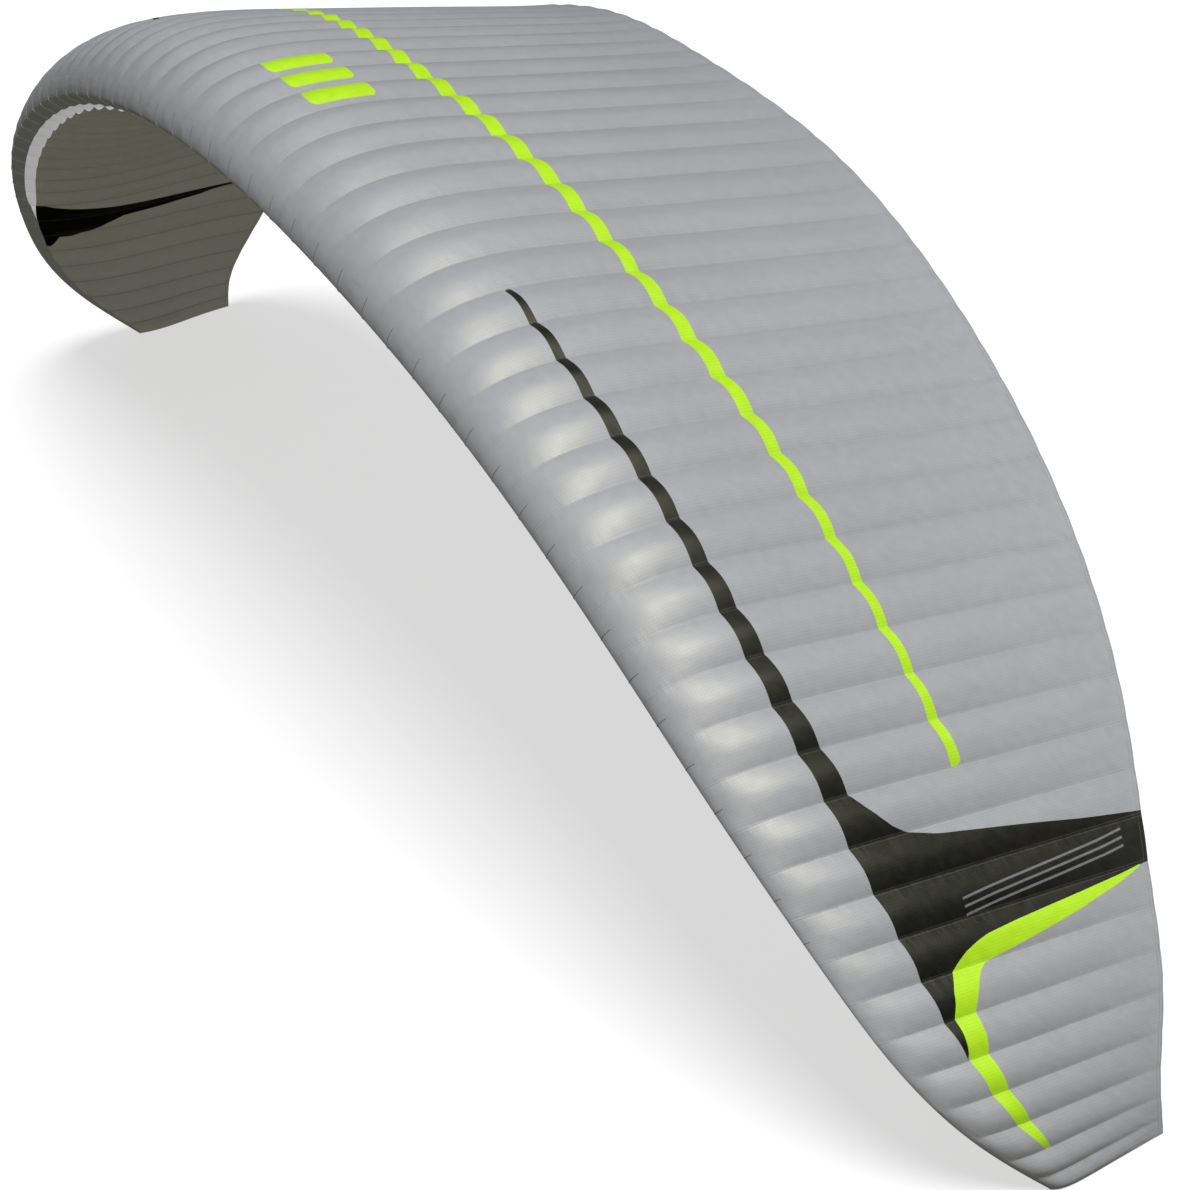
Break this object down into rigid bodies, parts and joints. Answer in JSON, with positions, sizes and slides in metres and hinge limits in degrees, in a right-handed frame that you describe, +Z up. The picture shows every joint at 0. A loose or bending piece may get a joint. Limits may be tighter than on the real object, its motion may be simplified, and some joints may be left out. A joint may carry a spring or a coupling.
{
  "type": "paraglider wing",
  "caption": "Inflated ram-air paraglider wing: an arched, swept aerofoil of cloth cells with nose intakes, standing on its two tips.",
  "frame": {"origin": "middle of the footprint, at the level of the surface that the tips stand on", "axes": "+X along the span, the nose towards -Y, +Z up"},
  "size_m": [9.2188, 2.414, 3.2353],
  "materials": {
    "upper_cloth": "coated ripstop cloth, light grey with lime and black panels",
    "lower_cloth": "coated ripstop cloth, grey with a black panel on each half",
    "rib_cloth": "firm white-grey ripstop cloth",
    "tip_cloth": "coated ripstop cloth, light grey"
  },
  "bodies": {
    "root": {"lower_skin_1": "lower_cloth", "lower_skin_2": "lower_cloth", "lower_skin_3": "lower_cloth", "lower_skin_4": "lower_cloth", "lower_skin_5": "lower_cloth", "rib_01": "rib_cloth", "rib_02": "rib_cloth", "rib_03": "rib_cloth", "rib_04": "rib_cloth", "rib_05": "rib_cloth", "rib_06": "rib_cloth", "rib_07": "rib_cloth", "rib_08": "rib_cloth", "rib_09": "rib_cloth", "rib_10": "rib_cloth", "rib_11": "rib_cloth", "rib_12": "rib_cloth", "rib_13": "rib_cloth", "rib_14": "rib_cloth", "rib_15": "rib_cloth", "rib_16": "rib_cloth", "rib_17": "rib_cloth", "rib_18": "rib_cloth", "rib_19": "rib_cloth", "rib_20": "rib_cloth", "rib_21": "rib_cloth", "rib_22": "rib_cloth", "rib_23": "rib_cloth", "rib_24": "rib_cloth", "rib_25": "rib_cloth", "rib_26": "rib_cloth", "rib_27": "rib_cloth", "rib_28": "rib_cloth", "rib_29": "rib_cloth", "rib_30": "rib_cloth", "rib_31": "rib_cloth", "rib_32": "rib_cloth", "rib_33": "rib_cloth", "rib_34": "rib_cloth", "rib_35": "rib_cloth", "rib_36": "rib_cloth", "rib_37": "rib_cloth", "rib_38": "rib_cloth", "rib_39": "rib_cloth", "rib_40": "rib_cloth", "rib_41": "rib_cloth", "rib_42": "rib_cloth", "rib_43": "rib_cloth", "rib_44": "rib_cloth", "rib_45": "rib_cloth", "rib_46": "rib_cloth", "rib_47": "rib_cloth", "rib_48": "rib_cloth", "tip_panel_left": "tip_cloth", "tip_panel_right": "tip_cloth", "upper_skin_1": "upper_cloth", "upper_skin_2": "upper_cloth", "upper_skin_3": "upper_cloth", "upper_skin_4": "upper_cloth", "upper_skin_5": "upper_cloth"}
  },
  "joints": []
}
